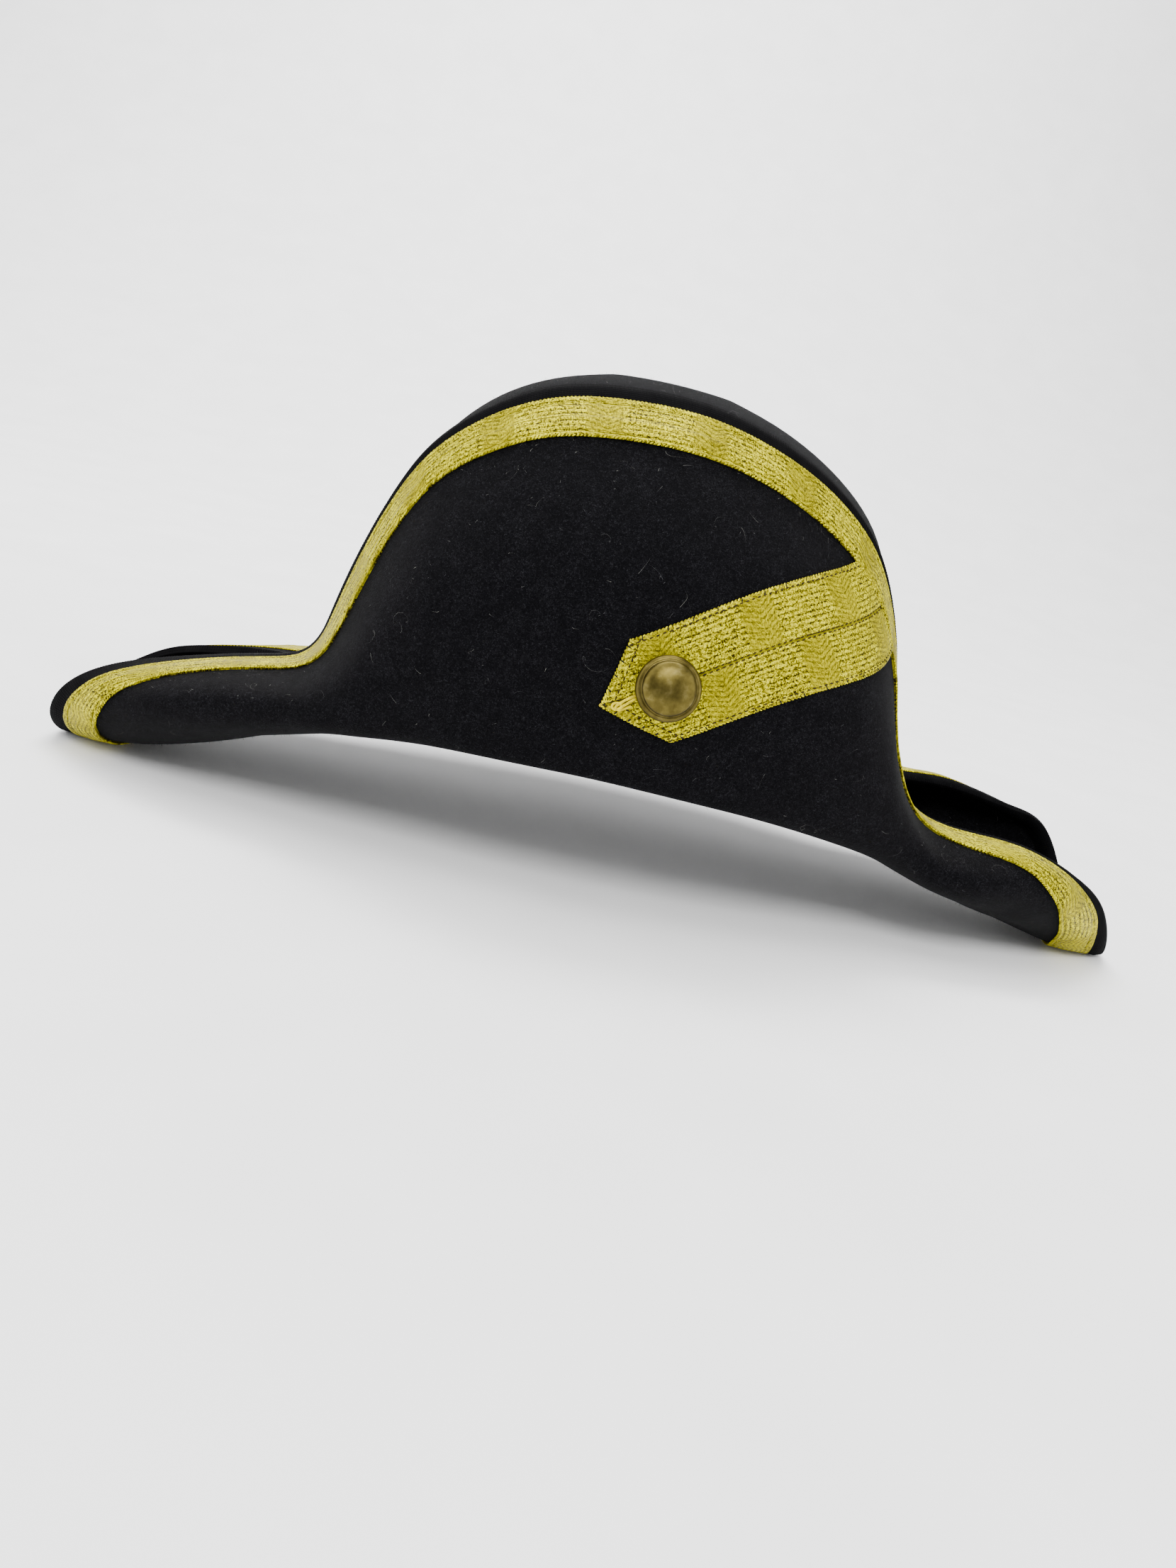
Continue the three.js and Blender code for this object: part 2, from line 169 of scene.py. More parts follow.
def shaded(material, sets, links):
    """Ends a material with one shader of these values."""
    shader = add(material, "ShaderNodeBsdfPrincipled", sets, links)
    add(material, "ShaderNodeOutputMaterial", links={"Surface": shader.outputs["BSDF"]})
    return material


# %% [markdown]
# ## Finding the felt's own grid
# The felt was lofted in rings round the hat, from the top of the crown over the brim's edge and back inside.
# Those rings can be read back from the frame: start at the crown's top point and step outward, one ring of
# neighbours at a time. Everything sewn on the brim is then laid by ring and station, not by eye. A smooth
# surface cuts inside its control points, so the cage is pushed out until the surface meets the rings.

# %% read the rings
def merged(node):
    """A CAD node's mesh with its loose triangles joined at their corners."""
    bm = bmesh.new()
    bm.from_mesh(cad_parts[node].data)
    bmesh.ops.remove_doubles(bm, verts=bm.verts, dist=0.01 * MM)
    bm.verts.ensure_lookup_table()
    return bm


def walked(layer):
    """The vertices of one closed ring in turn."""
    ring = [min(layer, key=lambda v: v.index)]
    while len(ring) < len(layer):
        beside = [e.other_vert(ring[-1]) for e in ring[-1].link_edges]
        ring.append(next(v for v in beside if v in layer and v not in ring))
    return np.array([v.co for v in ring])


def lined_up(ring, before):
    """Turns a ring's order so that its stations face those of the ring before."""
    orders = [np.roll(r, s, axis=0) for r in (ring, ring[::-1]) for s in range(len(ring))]
    return min(orders, key=lambda r: ((r - before) ** 2).sum())


def rings_round(pole):
    """The closed rings round a pole, as an array of ring, station and place."""
    seen, layer, found = {pole}, {pole}, []
    while True:
        layer = {e.other_vert(v) for v in layer for e in v.link_edges} - seen
        seen |= layer
        if len(layer) < 3:
            return np.array(found)
        ring = walked(layer)
        found.append(lined_up(ring, found[-1]) if found else ring)


felt_cad = merged("felt_body")
crown_pole = max(felt_cad.verts, key=lambda v: v.co.z)
rings = rings_round(crown_pole)
RINGS, STATIONS = rings.shape[:2]
EDGE_RING = RINGS / 2 - 0.5
print(f"felt: {RINGS} rings of {STATIONS} stations, the brim's edge at ring {EDGE_RING}")

# %% a smooth surface through the rings
def smoothed(control):
    """Where a smooth surface lies at its control points; past a pole comes the station opposite."""
    level = (np.roll(control, 1, axis=1) + 4 * control + np.roll(control, -1, axis=1)) / 6
    before = np.concatenate([np.roll(level[1:2], STATIONS // 2, axis=1), level[:-1]])
    after = np.concatenate([level[1:], np.roll(level[-2:-1], STATIONS // 2, axis=1)])
    return (before + 4 * level + after) / 6


inner_pole = min((v for v in felt_cad.verts if v.index != crown_pole.index),
                 key=lambda v: (v.co - Vector(rings[-1].mean(axis=0))).length)
poles = [np.tile(np.array(v.co), (1, STATIONS, 1)) for v in (crown_pole, inner_pole)]
through = np.concatenate([poles[0], rings, poles[1]])
cage = through.copy()
for _ in range(8):
    cage += through - smoothed(cage)
    cage[[0, -1]] = cage[[0, -1]].mean(axis=1, keepdims=True)
print(f"cage: its surface lies within {np.abs(smoothed(cage) - through).max() / MM:.2f} mm of the rings")


def spline(t):
    """The four weights of a uniform cubic B-spline, the curve that Subdivision Surface tends to."""
    return np.stack([(1 - t) ** 3, 3 * t**3 - 6 * t**2 + 4, -3 * t**3 + 3 * t**2 + 3 * t + 1, t**3]) / 6


def on_felt(ring, station):
    """Points of the smooth felt at fractional rings and stations."""
    ring, station = np.broadcast_arrays(np.asarray(ring, float), np.asarray(station, float))
    row = np.clip(np.floor(ring).astype(int), 0, RINGS - 2)
    column = np.floor(station).astype(int)
    across, along = spline(ring - row), spline(station - column)
    point = np.zeros(ring.shape + (3,))
    for i in range(4):
        for j in range(4):
            corner = cage[row + i, (column + j - 1) % STATIONS]
            point += (across[i] * along[j])[..., None] * corner
    return point


def unit(vectors):
    """Vectors brought to length one."""
    return vectors / np.maximum(np.linalg.norm(vectors, axis=-1, keepdims=True), 1e-12)


def felt_normal(ring, station):
    """The felt's outward direction, by small steps along its two ways."""
    down = on_felt(ring + NUDGE, station) - on_felt(ring - NUDGE, station)
    along = on_felt(ring, station + NUDGE) - on_felt(ring, station - NUDGE)
    return TURN * unit(np.cross(down, along))


NUDGE = 0.02
TURN = 1.0
if felt_normal(np.array(2.0), np.array(0.0))[2] < 0:
    TURN = -1.0
print("felt's upward direction near the crown's top:", felt_normal(np.array(2.0), np.array(0.0)).round(2))

# %% [markdown]
# ## The felt hood
# The crown and brim are one hood of stiff wool felt, pulled over a block and pressed. By hand it could be
# sculpted, but the CAD rings already hold its form, so a mesh of quads is laid on them, the crown's top is
# filled as a grid to avoid a pinched pole, and Subdivision Surface gives the rounded press of felt.

# %% lay quads on the rings
index = np.arange(RINGS * STATIONS).reshape(RINGS, STATIONS)
following = np.roll(index, -1, axis=1)
quads = np.stack([index[:-1], index[1:], following[1:], following[:-1]], -1).reshape(-1, 4)
felt = piece_from("felt_hat", cage[1:-1].reshape(-1, 3), quads)


def fill_top(piece, ring, pole_height):
    """Fills a ring with a grid of quads, domed up to the height of its pole."""
    only(piece)
    before = len(piece.data.vertices)
    mode("EDIT")
    bpy.ops.mesh.select_all(action="DESELECT")
    mode("OBJECT")
    for vertex in index[ring]:
        piece.data.vertices[int(vertex)].select = True
    mode("EDIT")
    bpy.ops.mesh.select_mode(type="VERT")
    bpy.ops.mesh.fill_grid(span=STATIONS // 4)
    mode("OBJECT")
    border = cage[ring + 1]
    middle = border.mean(axis=0)
    reach = np.abs(border - middle).max(axis=0)
    for vertex in piece.data.vertices[before:]:
        inside = 1 - sum(((vertex.co[k] - middle[k]) / reach[k]) ** 2 for k in (0, 1))
        vertex.co.z += (pole_height - middle[2]) * max(inside, 0)


for ring, pole in ((0, cage[0, 0]), (RINGS - 1, cage[-1, 0])):
    fill_top(felt, ring, pole[2])
face_out(felt)
smooth = felt.modifiers.new("pressed felt", "SUBSURF")
smooth.levels = smooth.render_levels = 2
bpy.ops.object.modifier_apply(modifier=smooth.name)
bpy.ops.object.shade_smooth()
print("felt faces:", len(felt.data.polygons))

# %% [markdown]
# ## Felt as a material
# Wool felt is a mat of crimped fibres dyed black. It has no gloss of its own: fibres standing off the surface
# catch light at grazing angles, which sheen gives, and the mat is slightly uneven in depth and tone. The
# parts that face up are greyed, partly by dust and partly by painted top light.

# %% black wool felt
FIBRE = 0.6 * MM  # real fibres are far finer; they are drawn coarse so that they show
CLUMP = 7 * MM


def black_wool_felt():
    """Matt black felt: dark fibres, a grey bloom where the nap turns to the light."""
    wool = new_material("black wool felt")
    fibres = noise(wool, FIBRE, Detail=4.0, Roughness=0.65, Distortion=1.6)
    clumps = noise(wool, CLUMP, Detail=3.0, Roughness=0.55)
    mixed = maths(wool, "MULTIPLY_ADD", clumps, 0.12, maths(wool, "MULTIPLY", fibres, 0.88))
    black = ramp(wool, mixed, (0.36, "#010102"), (0.52, "#050507"), (0.66, "#1E1E21"))
    facing = add(wool, "ShaderNodeSeparateXYZ",
                 links={"Vector": add(wool, "ShaderNodeTexCoord").outputs["Normal"]}).outputs["Z"]
    # dust and painted top light: felt that faces up is greyed toward #2E2E2C, partly as dust and partly as
    # painted light from above
    dust_and_top_light_share = ranged(wool, facing, {"From Min": 0.45, "From Max": 1.0, "To Max": 0.12})
    dust = maths(wool, "MULTIPLY", dust_and_top_light_share, mixed)
    tone = add(wool, "ShaderNodeMix", {"data_type": "RGBA", 7: linear("#2E2E2C")},
               {0: dust, 6: black}).outputs[2]
    depth = maths(wool, "MULTIPLY_ADD", clumps, 0.2, fibres)
    return shaded(wool, {"Roughness": 0.95, "Sheen Weight": 0.036, "Sheen Roughness": 0.4,
                         "Sheen Tint": linear("#B4B5B4"), "Specular IOR Level": 0.05},
                  {"Base Color": tone, "Normal": bumped(wool, 0.8, 0.35 * MM, depth)})


felt_black = black_wool_felt()
hand_over(felt, felt_black, "felt_body")

# %% [markdown]
# ## Measuring along the brim
# Ribbon and lace follow the brim's edge, so they need two distances in real millimetres: how far along the
# edge, and how far below it on the outer face. Both come from adding up short steps on the smooth felt.

# %% distances along and below the edge
STATION_PARTS = 24
BRIM_RINGS = 9
RING_PARTS = 20


def run_along(points):
    """Distances from the first point along each line of points."""
    steps = np.linalg.norm(np.diff(points, axis=-2), axis=-1)
    return np.concatenate([np.zeros(steps.shape[:-1] + (1,)), np.cumsum(steps, axis=-1)], axis=-1)


def station_at(shares, ring):
    """Stations at these shares of the way along a ring, and the ring's whole length."""
    fine = np.linspace(0, STATIONS, STATIONS * STATION_PARTS + 1)
    run = run_along(on_felt(ring, fine))
    return np.interp(shares * run[-1], run, fine), run[-1]


def ring_at(depths, stations, outward=1):
    """The ring at each depth below the brim's edge; outward 1 is the outer face, -1 the inner.
    The depths are one row for all stations, or a row for each."""
    fine = EDGE_RING + outward * np.linspace(0, BRIM_RINGS, BRIM_RINGS * RING_PARTS + 1)
    run = run_along(on_felt(fine[None, :], np.asarray(stations)[:, None]))
    depths = np.broadcast_to(depths, (len(run), np.shape(depths)[-1]))
    return np.array([np.interp(d, r, fine) for d, r in zip(depths, run)])


def tube_on(name, points, lengths, widths, shift=None):
    """A closed band from an array of station, place round its section and xyz, with a UV map in metres.
    A shift moves the map sideways at each station, for threads that swing."""
    count, around = points.shape[:2]
    shift = np.zeros(count + 1) if shift is None else shift
    index = np.arange(count * around).reshape(count, around)
    ahead = np.roll(index, -1, axis=0)
    faces = np.stack([index, np.roll(index, -1, 1), np.roll(ahead, -1, 1), ahead], -1).reshape(-1, 4)
    band = piece_from(name, points.reshape(-1, 3), faces)
    corners = np.empty((count, around, 4, 2))
    corners[..., 0] = np.stack([lengths[:-1], lengths[:-1], lengths[1:], lengths[1:]], 1)[:, None]
    corners[..., 1] = (np.stack([widths[:-1], widths[1:], widths[1:], widths[:-1]], 1)
                       + np.stack([shift[:-1], shift[:-1], shift[1:], shift[1:]], 1)[:, None])
    cloth_map(band, corners)
    return outward_faces(band)


def outward_faces(piece, crease=50):
    """Turns a closed piece's faces outward and smooths it, except over sharp corners."""
    face_out(piece)
    bpy.ops.object.shade_smooth_by_angle(angle=math.radians(crease))
    return piece


# place along the hat, and distance from the edge, in mm
LACE_LIE = np.array([
    (-216, 9.5), (-205, 10.8), (-186, 11.4), (-165, 9.8), (-134, 8.6), (-118, 7.4), (-108, 6.2), (-101, 5.3),
    (-92, 6.7), (-60, 6.8), (20, 6.9), (100, 6.0), (120, 5.3), (136, 5.5), (158, 7.2), (185, 8.2), (205, 7.8),
    (216, 7.0)]) * MM
FAR_FRONT = np.array([(-185, 0), (-160, 4), (-115, 4), (-100, 0)]) * MM


def lace_start(stations):
    """How far below the edge the lace begins: the ribbon shows broader on the two tips, and on the right
    flap's front the lace lies lower still."""
    edge = on_felt(EDGE_RING, stations)
    further = np.where(edge[:, 1] > 0, np.interp(edge[:, 0], *FAR_FRONT.T), 0)
    return np.interp(edge[:, 0], *LACE_LIE.T) + further


edge_length = station_at(np.array([0.0]), EDGE_RING)[1]
print(f"brim edge: {edge_length / MM:.0f} mm round")

# %% [markdown]
# ## The ribbon over the edge
# A black grosgrain ribbon is folded over the raw edge and sewn through. Its cross ribs are its whole look, so
# they are modelled: the fold's section is carried round the edge and swells a little on every rib.

# %% fold the ribbon over the edge
RIB_PITCH = 1.0 * MM  # real ribs are nearer 0.75 mm; they are drawn wider so that they show
RIB_STEPS = 4
SKIRT = 6.1 * MM  # inside the brim; outside it reaches to the lace
RIBBON_LIFT = 0.75 * MM
FOLD_LIFT = 2.0 * MM
BACK_LIFT = 0.12 * MM
RIBBON_FLAT = 14 * MM
RIB_SWELL = 0.16 * MM
WARP_PITCH = 0.6 * MM  # real warp threads are nearer 0.3 mm; they too are drawn wider

rib_count = int(edge_length / RIB_PITCH)
ribbon_share = np.arange(rib_count * RIB_STEPS) / (rib_count * RIB_STEPS)
ribbon_station = station_at(ribbon_share, EDGE_RING)[0]
skirt_share = np.array([1.0, 0.72, 0.42, 0.15])
outer_rows = ring_at((lace_start(ribbon_station) + 0.3 * MM)[:, None] * skirt_share, ribbon_station)
inner_rows = ring_at(SKIRT * skirt_share[::-1], ribbon_station, -1)
fold_rows = np.concatenate([outer_rows, np.full((len(outer_rows), 1), EDGE_RING), inner_rows], axis=1)
fold_lift = np.interp(np.abs(np.linspace(-1, 1, 9)), [0, 0.3, 0.6, 1],
                      [FOLD_LIFT, 1.4 * MM, 0.95 * MM, RIBBON_LIFT])
ribs = np.abs(np.sin(np.pi * np.arange(len(ribbon_share)) / RIB_STEPS))[:, None]
surface = on_felt(fold_rows, ribbon_station[:, None])
away = felt_normal(fold_rows, ribbon_station[:, None])
outside = surface + away * (fold_lift + RIB_SWELL * (ribs - 0.5))[..., None]
under = (surface + away * BACK_LIFT)[:, ::-2]
ribbon_width = np.concatenate([np.linspace(0, 1, 9), np.linspace(1, 0, 5), [0]]) * RIBBON_FLAT
ribbon_run = np.append(ribbon_share, 1.0) * edge_length
ribbon = tube_on("ribbon_binding", np.concatenate([outside, under], axis=1), ribbon_run, ribbon_width)

# %% black grosgrain ribbon
def black_grosgrain():
    """Silk-faced black ribbon: the ribs are modelled, and fine warp threads cross them."""
    black = new_material("black grosgrain ribbon")
    cloth = add(black, "ShaderNodeUVMap", {"uv_map": "cloth"}).outputs["UV"]
    wear = noise(black, 6 * MM, Detail=3.0)
    tone = ramp(black, wear, (0.35, "#030304"), (0.7, "#080809"))
    parts = add(black, "ShaderNodeSeparateXYZ", links={"Vector": cloth})
    threads = maths(black, "SINE", maths(black, "MULTIPLY", parts.outputs["Y"], math.tau / WARP_PITCH))
    return shaded(black, {"Roughness": 0.75, "Specular IOR Level": 0.025},
                  {"Base Color": tone, "Normal": bumped(black, 0.35, 0.08 * MM, threads)})


hand_over(ribbon, black_grosgrain(), "edge_binding")

# %% [markdown]
# ## Gold lace: the weave
# The lace is a narrow ware of gilt thread. Its lines run straight for a while, dip to one side and come
# steeply back in a chevron, then run straight again. A beaded line and a smooth line take turns, with a
# dark furrow between. One function gives that relief, so the edge lace and the loop are woven alike.

# %% the lace's relief
LINE_PITCH = 1.8 * MM
REPEAT = 35 * MM
CHEVRON = 12 * MM
DIP = 2.9 * MM
DIP_AT = 0.6
BEAD_PITCH = 1.1 * MM


def swing(along):
    """How far the lines have dipped aside: nothing on the straight, down and steeply back in the chevron."""
    into = np.mod(along, REPEAT) / CHEVRON
    return DIP * np.clip(np.minimum(into / DIP_AT, (1 - into) / (1 - DIP_AT)), 0, None)


def lace_relief(along, across):
    """Height of the woven face over the tape's back, in metres."""
    line = (across - swing(along)) / LINE_PITCH
    ridge = np.abs(np.sin(np.pi * line)) ** 0.6
    split = np.abs(np.cos(np.pi * line)) ** 0.6
    beads = 0.5 + 0.5 * np.cos(math.tau * (along / BEAD_PITCH + 0.5 * np.floor(line)))
    return (0.15 * ridge + 0.06 * split + 0.12 * beads * ridge) * MM


print("lace relief over a straight line, mm:", (lace_relief(0.02, np.linspace(0, 2, 5) * MM) / MM).round(2))

# %% [markdown]
# ## Gold lace on the edge
# The lace is sewn flat on the outer face, right against the ribbon, all the way round. It is built as one
# closed band lying on the felt: a fine face with the weave's relief, two thin sides and a plain back.

# %% lay the lace round the brim
LACE_WIDTH = 16.2 * MM
LACE_LIFT = 1.0 * MM
UPPER_SEWN = 2.4 * MM
LOWER_SEWN = LACE_WIDTH - 1.5 * MM
SELVEDGE = 0.5 * MM
LACE_RING = EDGE_RING + 3
LACE_STATIONS = 1180
LACE_ROWS = 60
BACK_ROWS = [-1, 45, 30, 15, 0]

lace_share = np.arange(LACE_STATIONS) / LACE_STATIONS
lace_across = np.linspace(0, LACE_WIDTH, LACE_ROWS)
lace_station, lace_length = station_at(lace_share, LACE_RING)
lace_rows = ring_at(lace_start(lace_station)[:, None] + lace_across, lace_station)
lace_along = lace_share * lace_length


def narrow_line(across, at, width=0.35 * MM):
    """A soft-edged line along the lace: a sewn groove or a rolled edge."""
    return np.exp(-(((across - at) / width) ** 2))


selvedge = (narrow_line(lace_across, SELVEDGE, SELVEDGE)
            + narrow_line(lace_across, LACE_WIDTH - SELVEDGE, SELVEDGE))
sewn = narrow_line(lace_across, UPPER_SEWN) + narrow_line(lace_across, LOWER_SEWN)
pucker = np.sin(lace_along / (4.1 * MM)) * np.sin(lace_along / (23 * MM) + 1.0)
height = (LACE_LIFT + 0.8 * lace_relief(lace_along[:, None], lace_across[None, :])
          + (0.18 * selvedge - 0.32 * sewn)[None, :] * MM
          + 0.16 * MM * pucker[:, None] * (lace_across / LACE_WIDTH)[None, :])
lace_ground = on_felt(lace_rows, lace_station[:, None])
lace_away = felt_normal(lace_rows, lace_station[:, None])
back = (lace_ground + lace_away * BACK_LIFT)[:, BACK_ROWS]
lace_points = np.concatenate([lace_ground + lace_away * height[..., None], back], axis=1)
lace_width_map = np.concatenate([lace_across, lace_across[BACK_ROWS], [0]])
lace_run = np.append(lace_share, 1.0) * lace_length
lace = tube_on("brim_lace", lace_points, lace_run, lace_width_map, -swing(lace_run))
print(f"edge lace: {lace_length / MM:.0f} mm long")

# %% [markdown]
# ## Gilt thread as a material
# The thread is a yellow core wrapped in flat gilt strip, so it is half cloth, half metal: a strong lemon body
# colour broken into grains, each turned a little differently to the light, with their light and dark painted
# into the colour as painted glint and shade. The furrows between the lines are darkened with painted shade,
# and the chevrons are woven closer, so they are paler and plainer than the straights.

# %% woven gilt lace
GRAIN = 0.42 * MM


def woven_gilt_lace():
    """Lemon-gold thread: grains of painted glint and shade, furrows darkened with painted shade, paler
    chevrons.
    """
    gilt = new_material("woven gilt lace")

    def sums(*steps):
        return maths(gilt, *steps)

    cloth = add(gilt, "ShaderNodeUVMap", {"uv_map": "cloth"}).outputs["UV"]
    parts = add(gilt, "ShaderNodeSeparateXYZ", links={"Vector": cloth})
    grains = add(gilt, "ShaderNodeTexVoronoi", {"Scale": 1 / GRAIN, "Randomness": 0.85}, {"Vector": cloth})
    grain = add(gilt, "ShaderNodeSeparateColor", links={"Color": grains.outputs["Color"]}).outputs["Red"]
    cloud = noise(gilt, 16 * MM, cloth, Detail=2.0)
    furrow = sums("POWER", sums("ABSOLUTE", sums("SINE", sums("MULTIPLY", parts.outputs["Y"],
                                                              math.pi / LINE_PITCH))), 0.5)
    to_chevron = sums("PINGPONG", sums("MULTIPLY_ADD", parts.outputs["X"], 1 / REPEAT,
                                       -CHEVRON / REPEAT / 2), 0.5)
    straight = ranged(gilt, to_chevron, {"From Min": 0.42 * CHEVRON / REPEAT,
                                         "From Max": 0.56 * CHEVRON / REPEAT})
    contrast = sums("MULTIPLY_ADD", straight, 0.5, 0.5)
    # painted glint and shade: each grain's colour is lighter and darker as if turned to the light, and the
    # furrows between the lines are darkened with painted shade
    painted_glint_and_shade = sums("MULTIPLY_ADD", sums("SUBTRACT", grain, 0.5), 0.8, sums("MULTIPLY", furrow, 0.5))
    light = sums("MULTIPLY_ADD", sums("SUBTRACT", painted_glint_and_shade, 0.36), contrast,
                 sums("MULTIPLY_ADD", cloud, 0.3, 0.32))
    tone = ramp(gilt, light, (0.1, "#231D00"), (0.38, "#6E6600"), (0.6, "#A09700"), (0.88, "#D8D000"))
    depth = sums("MULTIPLY_ADD", furrow, 0.5, grain)
    shine = ranged(gilt, grain, {"To Min": 0.4, "To Max": 0.6})
    return shaded(gilt, {"Metallic": 0.35, "Specular IOR Level": 0.05},
                  {"Base Color": tone, "Roughness": shine, "Normal": bumped(gilt, 0.5, 0.16 * MM, depth)})


gilt_lace = woven_gilt_lace()
hand_over(lace, gilt_lace, "edge_lace")

# %% [markdown]
# ## Stitches
# One stitch is modelled once, as a small lengthened bead of thread, and copied along a line. Each copy takes
# its place from three directions: along the stitch, out of the cloth, and across.

# %% a stitch, and rows of it
def bead_of_thread():
    """A low ball of six sides, one metre long, to be shrunk to a stitch."""
    bpy.ops.object.select_all(action="DESELECT")
    bpy.ops.mesh.primitive_uv_sphere_add(segments=6, ring_count=5, radius=0.5)
    ball = bpy.context.object
    mode("EDIT")
    bpy.ops.transform.rotate(value=math.radians(90), orient_axis="Y", center_override=(0, 0, 0))
    mode("OBJECT")
    points = np.array([v.co for v in ball.data.vertices])
    faces = [list(f.vertices) for f in ball.data.polygons]
    bpy.data.objects.remove(ball)
    return points, faces


stitch_points, stitch_faces = bead_of_thread()


def stitches(name, rows, length, thick, material):
    """Copies the stitch to each place of these rows, turned along its way and lying on its outward side."""
    places, ways, outs = (np.concatenate(part) for part in zip(*rows))
    ways, outs = unit(ways), unit(outs)
    sides = unit(np.cross(outs, ways))
    outs = np.cross(ways, sides)
    axes = np.stack([ways * length, sides * thick, outs * thick], 1)
    points = (np.einsum("pa,nak->npk", stitch_points, axes) + places[:, None, :]).reshape(-1, 3)
    count = len(stitch_points)
    faces = [[i + k * count for i in f] for k in range(len(places)) for f in stitch_faces]
    row = piece_from(name, points, faces)
    cloth_map(row, np.array([(points[loop.vertex_index][0], LINE_PITCH / 2) for loop in row.data.loops]))
    hand_over(outward_faces(row, 80), material)


def leaning(way, out, slant):
    """Ways turned aside on the cloth by a slant."""
    return way * math.cos(slant) + np.cross(out, way) * math.sin(slant)


def lace_row(across, pitch, lift, slant):
    """Places, ways and outward sides of a row of stitches, so far across the lace from its upper side."""
    count = int(lace_length / pitch)
    station = station_at(np.arange(count) / count, LACE_RING)[0]
    ring = ring_at((lace_start(station) + across)[:, None], station)[:, 0]
    out = felt_normal(ring, station)
    way = unit(on_felt(ring, station + NUDGE) - on_felt(ring, station - NUDGE))
    return on_felt(ring, station) + out * lift, leaning(way, out, slant), out


WHIP_PITCH = 1.25 * MM
WHIP_SLANT = math.radians(38)
SEWN_PITCH = 3.4 * MM
SEWN_LIFT = 1.05 * MM
stitches("lace_rope_edges",
         [lace_row(LACE_WIDTH - 0.15 * MM, WHIP_PITCH, 0.95 * MM, WHIP_SLANT),
          lace_row(0.35 * MM, WHIP_PITCH, 1.0 * MM, -WHIP_SLANT)],
         length=2.1 * MM, thick=0.75 * MM, material=gilt_lace)
stitches("lace_sewing",
         [lace_row(UPPER_SEWN, SEWN_PITCH, SEWN_LIFT, 0.0),
          lace_row(LOWER_SEWN, SEWN_PITCH, SEWN_LIFT, 0.0)],
         length=3.0 * MM, thick=0.42 * MM, material=gilt_lace)

# %% [markdown]
# ## The loop
# The loop is one length of lace doubled and sewn edge to edge, folded to a point in front and tucked against
# the edge lace behind. Its CAD solid gives the lie: its top face is read back as nine lines from front to
# rear, and a finer grid between those lines is dropped on the smooth felt and woven with the same relief.

# %% read the loop's lines
def loop_lines():
    """The nine lines of the loop's face, from the upper border to the lower, each from front to rear."""
    bm = merged("loop_lace")
    felt_faces = BVHTree.FromBMesh(felt_cad)
    bm.normal_update()
    face_up = [f for f in bm.faces
               if f.normal.dot(felt_faces.find_nearest(f.calc_center_median())[1]) > 0.6]
    top = {v for f in face_up for v in f.verts}
    keep = set(face_up)
    inner = {e for f in face_up for e in f.edges}
    rim = {e for e in inner if sum(f in keep for f in e.link_faces) == 1}
    border = [min(top, key=lambda v: v.co.x)]
    while len(border) < len(rim):
        beside = [e.other_vert(border[-1]) for e in border[-1].link_edges if e in rim]
        border.append(next(v for v in beside if v not in border))
    if border[1].co.z < border[-1].co.z:
        border = [border[0]] + border[:0:-1]
    bends = [(border[k].co - border[k - 1].co).angle(border[(k + 1) % len(border)].co - border[k].co)
             for k in range(len(border))]
    sharpest = sorted(sorted(range(1, len(border)), key=lambda k: -bends[k])[:4])
    lines, seen = [], set()
    layer = set(border[sharpest[0]:sharpest[1] + 1])
    while layer:
        lines.append(sorted((tuple(v.co) for v in layer)))
        seen |= layer
        layer = {e.other_vert(v) for v in layer for e in v.link_edges if e in inner} - seen
    return np.array(lines)


TUCK = 5 * MM
lines = loop_lines()
rear_way = TUCK * unit(lines[:, -1] - lines[:, -2])
lines = np.concatenate([lines, lines[:, -1:] + rear_way[:, None]], axis=1)
print("loop: lines and points", lines.shape[:2])

# %% a finer grid between the lines
def eased(values, count):
    """A smooth run through the values along the first axis, resampled to count places."""
    padded = np.concatenate([[2 * values[0] - values[1]], values, [2 * values[-1] - values[-2]]])
    place = np.linspace(0, len(values) - 1, count)
    at = np.minimum(place.astype(int), len(values) - 2)
    t = (place - at).reshape((-1,) + (1,) * (values.ndim - 1))
    a, b, c, d = (padded[at + k] for k in range(4))
    return b + 0.5 * t * (c - a + t * (2 * a - 5 * b + 4 * c - d + t * (3 * (b - c) + d - a)))


LOOP_ROWS = 129
LOOP_STEPS = 260
LOOP_LIFT = 0.9 * MM
UPPER_CHEVRON = 16 * MM
LOWER_CHEVRON = 32.5 * MM
SEAM_HALF = 0.7 * MM
seam_line = len(lines) // 2
halfway = len(lines[0]) // 2
run_of_seam = unit(lines[seam_line, halfway + 1] - lines[seam_line, halfway - 1])
steps_across = np.diff(lines[:, halfway], axis=0)
steps_across -= (steps_across @ run_of_seam)[:, None] * run_of_seam
line_across = np.concatenate([[0], np.cumsum(np.linalg.norm(steps_across, axis=1))])
loop_width = line_across[-1]
fine_lines = np.stack([eased(line, LOOP_STEPS) for line in lines])
row_across = np.linspace(0, loop_width, LOOP_ROWS)
loop_grid = np.stack([[np.interp(row_across, line_across, fine_lines[:, k, c]) for c in range(3)]
                      for k in range(LOOP_STEPS)]).transpose(2, 0, 1)
axis = unit(lines[seam_line, 3] - lines[seam_line, 0])
front_at = (loop_grid[:, 0] - lines[seam_line, 0]) @ axis
loop_along = front_at[:, None] + run_along(loop_grid)
print(f"loop: {loop_width / MM:.1f} mm wide, {loop_along.max() / MM:.0f} mm long")

# %% drop it on the felt and weave it
felt_surface = BVHTree.FromPolygons([v.co for v in felt.data.vertices],
                                    [f.vertices for f in felt.data.polygons])


def on_surface(points):
    """The nearest points of the smooth felt, with its outward direction there."""
    found = [felt_surface.find_nearest(Vector(p)) for p in points.reshape(-1, 3)]
    place = np.array([f[0] for f in found]).reshape(points.shape)
    out = np.array([f[1] for f in found]).reshape(points.shape)
    return place, out


